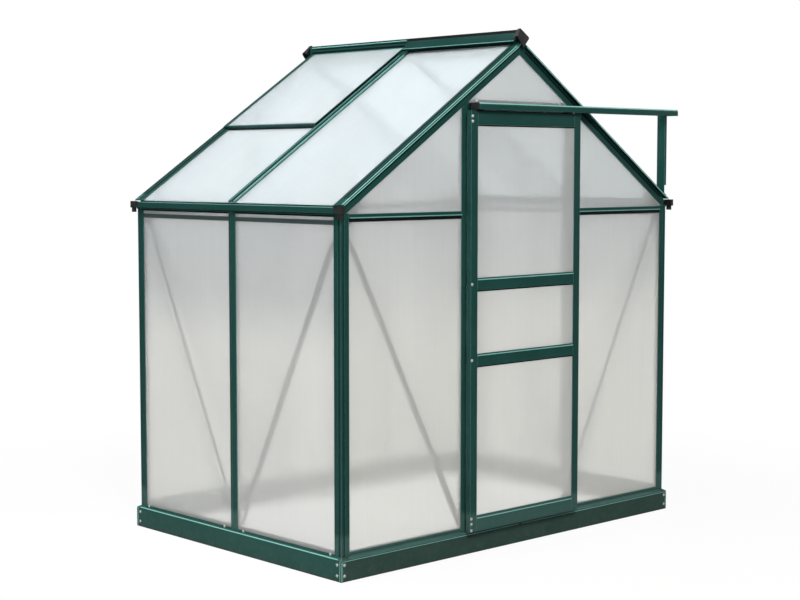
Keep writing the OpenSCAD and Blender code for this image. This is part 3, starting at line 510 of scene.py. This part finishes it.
# glazing seals, and the raised beads that run along the extruded parts: the seals' black strips
# also lie along the shade under rails, drips, the ridge and the vent as painted shade, and the
# beads' pale colour is a painted highlight
# strips are (start, end, across, out): the profile's first axis goes along across, its
# second along out, and the strip runs straight from start to end
sealProfile = [(-1, 0), (-1, 0.6), (-0.5, 1), (0.5, 1), (1, 0.6), (1, 0)]
beadProfile = [(-1, -0.6), (-1, 0), (-0.77, 0.64), (-0.3, 0.95),
               (0.3, 0.95), (0.77, 0.64), (1, 0), (1, -0.6)]


# point = start or end + a across + b out, for each (a, b) of the profile
def addStrips(name, rows, profile, mat, body):
    shape = np.array(profile)
    n, count = len(shape), len(rows)
    start, end, across, out = np.array(rows, float).transpose(1, 0, 2)
    section = shape[None, :, :1] * across[:, None] + shape[None, :, 1:] * out[:, None]
    verts = np.concatenate([start[:, None] + section, end[:, None] + section], 1)
    # faces are turned over where across, out and the strip's own way make a right hand
    turned = np.einsum("ij,ij->i", np.cross(across, out), end - start)[:, None, None] > 0
    ring = np.arange(n)
    after = (ring + 1) % n
    sides = np.stack([ring, after, after + n, ring + n], -1)
    caps = np.stack([ring[::-1], ring + n])
    shift = (np.arange(count) * 2 * n)[:, None, None]
    sides = np.where(turned, sides[None, :, ::-1], sides[None]) + shift
    caps = np.where(turned, caps[None, :, ::-1], caps[None]) + shift
    faceSets = [sides.reshape(-1, 4), caps.reshape(-1, n)]
    return addMesh(name, inFrame(verts.reshape(-1, 3)), faceSets, mat, body, False)


# the roof that the strips follow: its angle, the apex, and where its bars and rafters end down
# the slope. The strips are in mm, with y from the frame's middle
roof = {"turn": radians(33.7), "apex": 1992.2, "end": 1123}
alongHouse = np.array([0, 1.0, 0])
downSlope = np.array([cos(roof["turn"]), 0, -sin(roof["turn"])])
outOfSlope = np.array([sin(roof["turn"]), 0, cos(roof["turn"])])


# apex + u down the right-hand slope + y along the house + h out of the slope
def onSlope(u, y, h):
    return np.array([0, 0, roof["apex"]]) + u * downSlope + y * alongHouse + h * outOfSlope


# a strip that lies on the slope and runs down it, from u0 to u1
def slopeStrip(u0, u1, y, h, halfWidth, rise):
    return [onSlope(u0, y, h), onSlope(u1, y, h), alongHouse * halfWidth, outOfSlope * rise]


# the same on an upright face beside the slope, where it rises along the house
def skirtStrip(u0, u1, y, h, halfWidth, rise):
    return [onSlope(u0, y, h), onSlope(u1, y, h), outOfSlope * halfWidth, alongHouse * rise]


# a strip that lies on the slope and runs along the house, from y0 to y1
def crossStrip(y0, y1, u, h, halfWidth, rise):
    return [onSlope(u, y0, h), onSlope(u, y1, h), downSlope * halfWidth, outOfSlope * rise]


# straight strips with across and out given: upright at (x, y), level along the house at (x, z),
# and level along a gable at (y, z)
def uprightStrip(z0, z1, x, y, across, out):
    return [(x, y, z0), (x, y, z1), across, out]


def sideStrip(y0, y1, x, z, across, out):
    return [(x, y0, z), (x, y1, z), across, out]


def gableStrip(x0, x1, y, z, across, out):
    return [(x0, y, z), (x1, y, z), across, out]


# rows for the left slope are worked out on the right one and turned over
def onLeft(rows):
    return np.array(rows, float) * [-1, 1, 1]


# strips on a slope: from, to, place, height above the slope, half width, rise; the others:
# from, to, the two places, across, out. All are for the right-hand side and the back
# these strips are coloured pale, as a painted highlight along the beads
beadLines = {
    "rafter": (30, roof["end"], 646.6, 0, 2.3, 1.3),
    "rafterDrip": (30, roof["end"], 657, -2.9, 1.7, 0.5),
    "roofBar": [(46, roof["end"], -15.8, 5.2, 2.1, 1.2), (46, roof["end"], 12, 5.4, 1.2, 0.8)],
    "roofBarEdge": (46, roof["end"], -20.5, 2.8, 0.9, -0.3),
    "gutter": (-612, 612, 950, 1359.2, (0, 0, 0.7), (0.6, 0, 0)),
    "baseSide": (-632, 632, 947.9, 81.4, (-1.9, 0, 1.1), (0.4, 0, 0.7)),
    "baseGable": (12, 944, 656, 75.4, (0, 0, 1.1), (0, 0.5, 0)),
    "baseCorner": [(3, 73, 943.5, 654, (0.8, 0, 0), (0, 0.4, 0)),
                   (3, 75, 949.6, 653.6, (0.6, -0.6, 0), (0.4, 0.4, 0)),
                   (3, 76, 950, 644, (0, 0.9, 0), (0.4, 0, 0))],
    "tie": (323, 895, 644, 1321.2, (0, 0, 1.2), (0, 0.4, 0)),
    "ridge": (37, 1996.3, (0, 0, 0.9), (0.6, 0, 0)),
    "ventHinge": (-3, 614, 11.1, 2033.0, (0, 0, 1.5), (0.8, 0, 0)),
    "ventTop": (22, 600, 2.4, 14.8, 1.3, 0.5),
    "track": (-290, 926, -702.6, 1745.4, (0, 1.35, 2.15), (0, -0.6, 0.38)),
}
# black strips, partly glazing rubber and partly painted shade: they lie beside the bars and
# rafters and along the shade lines under the drips, ties, gutters, ridge and vent
sealAndShadeLines = {
    "rafter": [(46, 1085, 622.5, 1.6, 3.4, 0.5), (46, 1085, 640.6, 2.2, 2.6, 0.5),
               (46, 1085, 653.9, 1.7, 1.7, 0.5)],
    "rafterFace": (46, 1085, 640, -15, 3.4, 0.4),
    "roofBar": (46, roof["end"], -6.4, 6.1, 3.6, 0.7),
    "gutter": [(-599, -23, 934, 1327.8, (0, 0, 3.2), (5, 0, 0)),
               (23, 599, 934, 1327.8, (0, 0, 3.2), (5, 0, 0))],
    "tie": (323, 895, 639.3, 1311, (0, 0, 5), (0, 1.1, 0)),
    "backTie": (-279, 279, 639.3, 1311, (0, 0, 5), (0, 1.1, 0)),
    "ridgeFoot": (34.5, 1992.8, (0, 0, 0.9), (1, 0, 0)),
    "ridgeTop": (7.6, 2035.6, (2.4, 0, -5.4), (0.45, 0, 0.2)),
    "ventHinge": [(-3, 614, 10.4, 2012.0, (0, 0, 3.2), (1, 0, 0)),
                  (-3, 614, 10.4, 2025.5, (0, 0, 1.8), (0.5, 0, 0))],
    "ventSide": (46, 588, 19.6, 4.8, 1.0, 7.5),
    "ventFoot": (22, 600, 592.9, -2.2, 2.5, 3.2),
}
# the ridge cover is cut short on the left, where the vent's hinge takes its place
ridgeReach = {"front": -638, "rightBack": 638, "leftBack": -3, "footIn": 10}
# the door's beads carry the same painted highlight, and its black strips lie in the shade under
# its rails, as painted shade
doorBeadLines = {"reach": 279, "y": -685.6, "rows": (143, 779, 1072),
                 "halfWidth": 2.2, "rise": 0.9}
doorSealAndShadeLines = {"reach": 279, "y": -682.9, "rows": (735.4, 1028.4, 1661.4),
                 "halfWidth": 2.4, "rise": 1.9}


# the same strip along both halves of the ridge cover, drawn in at each end
def ridgeStrips(line, drawnIn=0):
    front = ridgeReach["front"] + drawnIn
    right = [sideStrip(front, ridgeReach["rightBack"] - drawnIn, *line)]
    left = [sideStrip(front, ridgeReach["leftBack"] - drawnIn, *line)]
    return np.concatenate([np.array(right, float), onLeft(left)])


# level strips across the door, one at each height
def doorStrips(lines):
    reach, y = lines["reach"], lines["y"]
    across, out = (0, 0, lines["halfWidth"]), (0, -lines["rise"], 0)
    return [gableStrip(-reach, reach, y, z, across, out) for z in lines["rows"]]


# every strip of one kind from its rows in a dictionary
def each(kind, rows):
    return [kind(*row) for row in rows]


# one quarter of the house mirrored both ways, one side mirrored across, and the odd ones
quarter = [slopeStrip(*beadLines["rafter"]), skirtStrip(*beadLines["rafterDrip"]),
           gableStrip(*beadLines["baseGable"]), gableStrip(*beadLines["tie"]),
           *each(uprightStrip, beadLines["baseCorner"])]
oneSide = [*each(slopeStrip, beadLines["roofBar"]), skirtStrip(*beadLines["roofBarEdge"]),
           sideStrip(*beadLines["gutter"]), sideStrip(*beadLines["baseSide"])]
vent = [sideStrip(*beadLines["ventHinge"]), crossStrip(*beadLines["ventTop"])]
beads = [*mirrored(quarter, "xy"), *mirrored(oneSide, "x"), *ridgeStrips(beadLines["ridge"]),
         *onLeft(vent), gableStrip(*beadLines["track"])]
addStrips("extruded_beads_painted_highlight", beads, beadProfile, beadHighlightGreen, "greenhouse")

quarter = [*each(slopeStrip, sealAndShadeLines["rafter"]), skirtStrip(*sealAndShadeLines["rafterFace"]),
           gableStrip(*sealAndShadeLines["tie"])]
oneSide = [slopeStrip(*sealAndShadeLines["roofBar"]), *each(sideStrip, sealAndShadeLines["gutter"])]
vent = [*each(sideStrip, sealAndShadeLines["ventHinge"]), slopeStrip(*sealAndShadeLines["ventSide"]),
        crossStrip(*sealAndShadeLines["ventFoot"])]
sealsAndShade = [*mirrored(quarter, "xy"), *mirrored(oneSide, "x"), *ridgeStrips(sealAndShadeLines["ridgeTop"]),
         *ridgeStrips(sealAndShadeLines["ridgeFoot"], ridgeReach["footIn"]),
         *onLeft(vent), gableStrip(*sealAndShadeLines["backTie"])]
addStrips("glazing_seals_and_shade_lines", sealsAndShade, sealProfile, sealAndShadeRubber, "greenhouse")

beads, sealsAndShade = doorStrips(doorBeadLines), doorStrips(doorSealAndShadeLines)
addStrips("door_beads_painted_highlight", beads, beadProfile, beadHighlightGreen, "door")
addStrips("door_seals_and_shade_lines", sealsAndShade, sealProfile, sealAndShadeRubber, "door")


# light, floor and camera; distances in metres, and a strength of 1 is white
studio = {"air": 0.16, "white": 1.0, "floor": (0.34, 0.34, 0.34), "floorGlow": 1.16,
          "glowShare": 0.80, "fadeFrom": 1.4, "fadeTo": 3.2, "reach": 60.0, "floorZ": -0.0006}
plainWhite = (1, 1, 1, 1)
# place, aim, size, power and colour of each softbox
softboxes = {
    "key softbox": ((-3.6, -6.4, 6.0), (0, 0, 1.0), (2.4, 2.4), 500, (1, 0.975, 0.94)),
    "top softbox": ((-2.2, 0.8, 5.4), (0, 0, 1.2), (3.5, 3.5), 165, (0.96, 0.99, 1)),
    "left softbox": ((-6.8, -0.4, 2.6), (0, 0, 1.0), (2.0, 4.0), 80, (1, 1, 0.96)),
    "right softbox": ((6.0, -2.5, 3.0), (0, 0, 1.0), (2.0, 3.0), 50, (1, 1, 1)),
}


# 1 where a ray comes straight from the camera or through a pane, 0 for all others
def seenDirectly(tree, at):
    path = node(tree, "ShaderNodeLightPath", (at[0] - 200, at[1])).outputs
    return maths(tree, "MAXIMUM", path["Is Camera Ray"], path["Is Transmission Ray"], at)


# the air round the house is dim, and white where it is seen directly
world = bpy.data.worlds.new("pale studio")
scene.world = world
world.use_nodes = True
tree = world.node_tree
tree.nodes.clear()
out = node(tree, "ShaderNodeOutputWorld", (600, 0))
air = node(tree, "ShaderNodeBackground", (200, 100), Color=plainWhite, Strength=studio["air"])
white = node(tree, "ShaderNodeBackground", (200, -100), Color=plainWhite, Strength=studio["white"])
sky = mixShader(tree, seenDirectly(tree, (0, 200)), air, white, (400, 0))
link(tree, sky.outputs[0], out.inputs[0])


def softbox(name, place, target, size, power, colour):
    data = bpy.data.lights.new(name, "AREA")
    data.shape = "RECTANGLE"
    data.size, data.size_y = size
    data.energy = power
    data.color = colour
    lamp = bpy.data.objects.new(name, data)
    scene.collection.objects.link(lamp)
    lamp.location = place
    lamp.rotation_euler = (Vector(target) - Vector(place)).to_track_quat("-Z", "Y").to_euler()


for name, box in softboxes.items():
    softbox(name, *box)

# the floor keeps the shadow near the house, glows where it is seen, and fades to white
floorMat, tree = newMaterial("white studio floor")
out = node(tree, "ShaderNodeOutputMaterial", (900, 0))
matte = node(tree, "ShaderNodeBsdfDiffuse", (300, 100), Color=(*studio["floor"], 1))
glow = node(tree, "ShaderNodeEmission", (300, -100), Color=plainWhite)
glow.inputs["Strength"].default_value = studio["floorGlow"]
fade = node(tree, "ShaderNodeEmission", (300, -300), Color=plainWhite, Strength=studio["white"])
where = node(tree, "ShaderNodeTexCoord", (-700, -200)).outputs["Object"]
away = node(tree, "ShaderNodeVectorMath", (-500, -200), operation="LENGTH")
link(tree, where, away.inputs[0])
far = node(tree, "ShaderNodeMapRange", (-300, -200), interpolation_type="SMOOTHSTEP")
for socket, value in (("From Min", studio["fadeFrom"]), ("From Max", studio["fadeTo"])):
    far.inputs[socket].default_value = value
link(tree, away.outputs["Value"], far.inputs["Value"])
seen = seenDirectly(tree, (-200, 300))
share = maths(tree, "MULTIPLY", seen, studio["glowShare"], (0, 300))
near = mixShader(tree, share, matte, glow, (500, 0))
faded = maths(tree, "MULTIPLY", seen, far.outputs["Result"], (300, 300))
whole = mixShader(tree, faded, near, fade, (700, 0))
link(tree, whole.outputs[0], out.inputs[0])
floorMesh = bpy.data.meshes.new("studio floor")
reach, floorZ = studio["reach"], studio["floorZ"]
corners = [(x * reach, y * reach, floorZ) for x, y in ((-1, -1), (1, -1), (1, 1), (-1, 1))]
floorMesh.from_pydata(corners, [], [(0, 1, 2, 3)])
studioFloor = bpy.data.objects.new("studio_floor", floorMesh)
scene.collection.objects.link(studioFloor)
floorMesh.materials.append(floorMat)

# place from the frame's middle, in metres; yaw from straight along the house and down, in radians
view = {"place": (-4.762, -5.0411, 1.5054), "yaw": 0.7520, "down": 0.0817,
        "lens": 73.36, "sensor": 36, "clipEnd": 200}
cameraData = bpy.data.cameras.new("camera")
camera = bpy.data.objects.new("camera", cameraData)
scene.collection.objects.link(camera)
cameraData.lens = view["lens"]
cameraData.sensor_width = view["sensor"]
cameraData.clip_end = view["clipEnd"]
yaw, down = view["yaw"], view["down"]
ahead = Vector((sin(yaw) * cos(down), cos(yaw) * cos(down), -sin(down)))
right = Vector((cos(yaw), -sin(yaw), 0))
up = right.cross(ahead)
turn = Matrix((right, up, -ahead)).transposed().to_4x4()
camera.matrix_world = Matrix.Translation(Vector(view["place"]) + Vector((0, midY, 0))) @ turn
scene.camera = camera
scene.view_settings.view_transform = "Standard"
print("camera and light set")
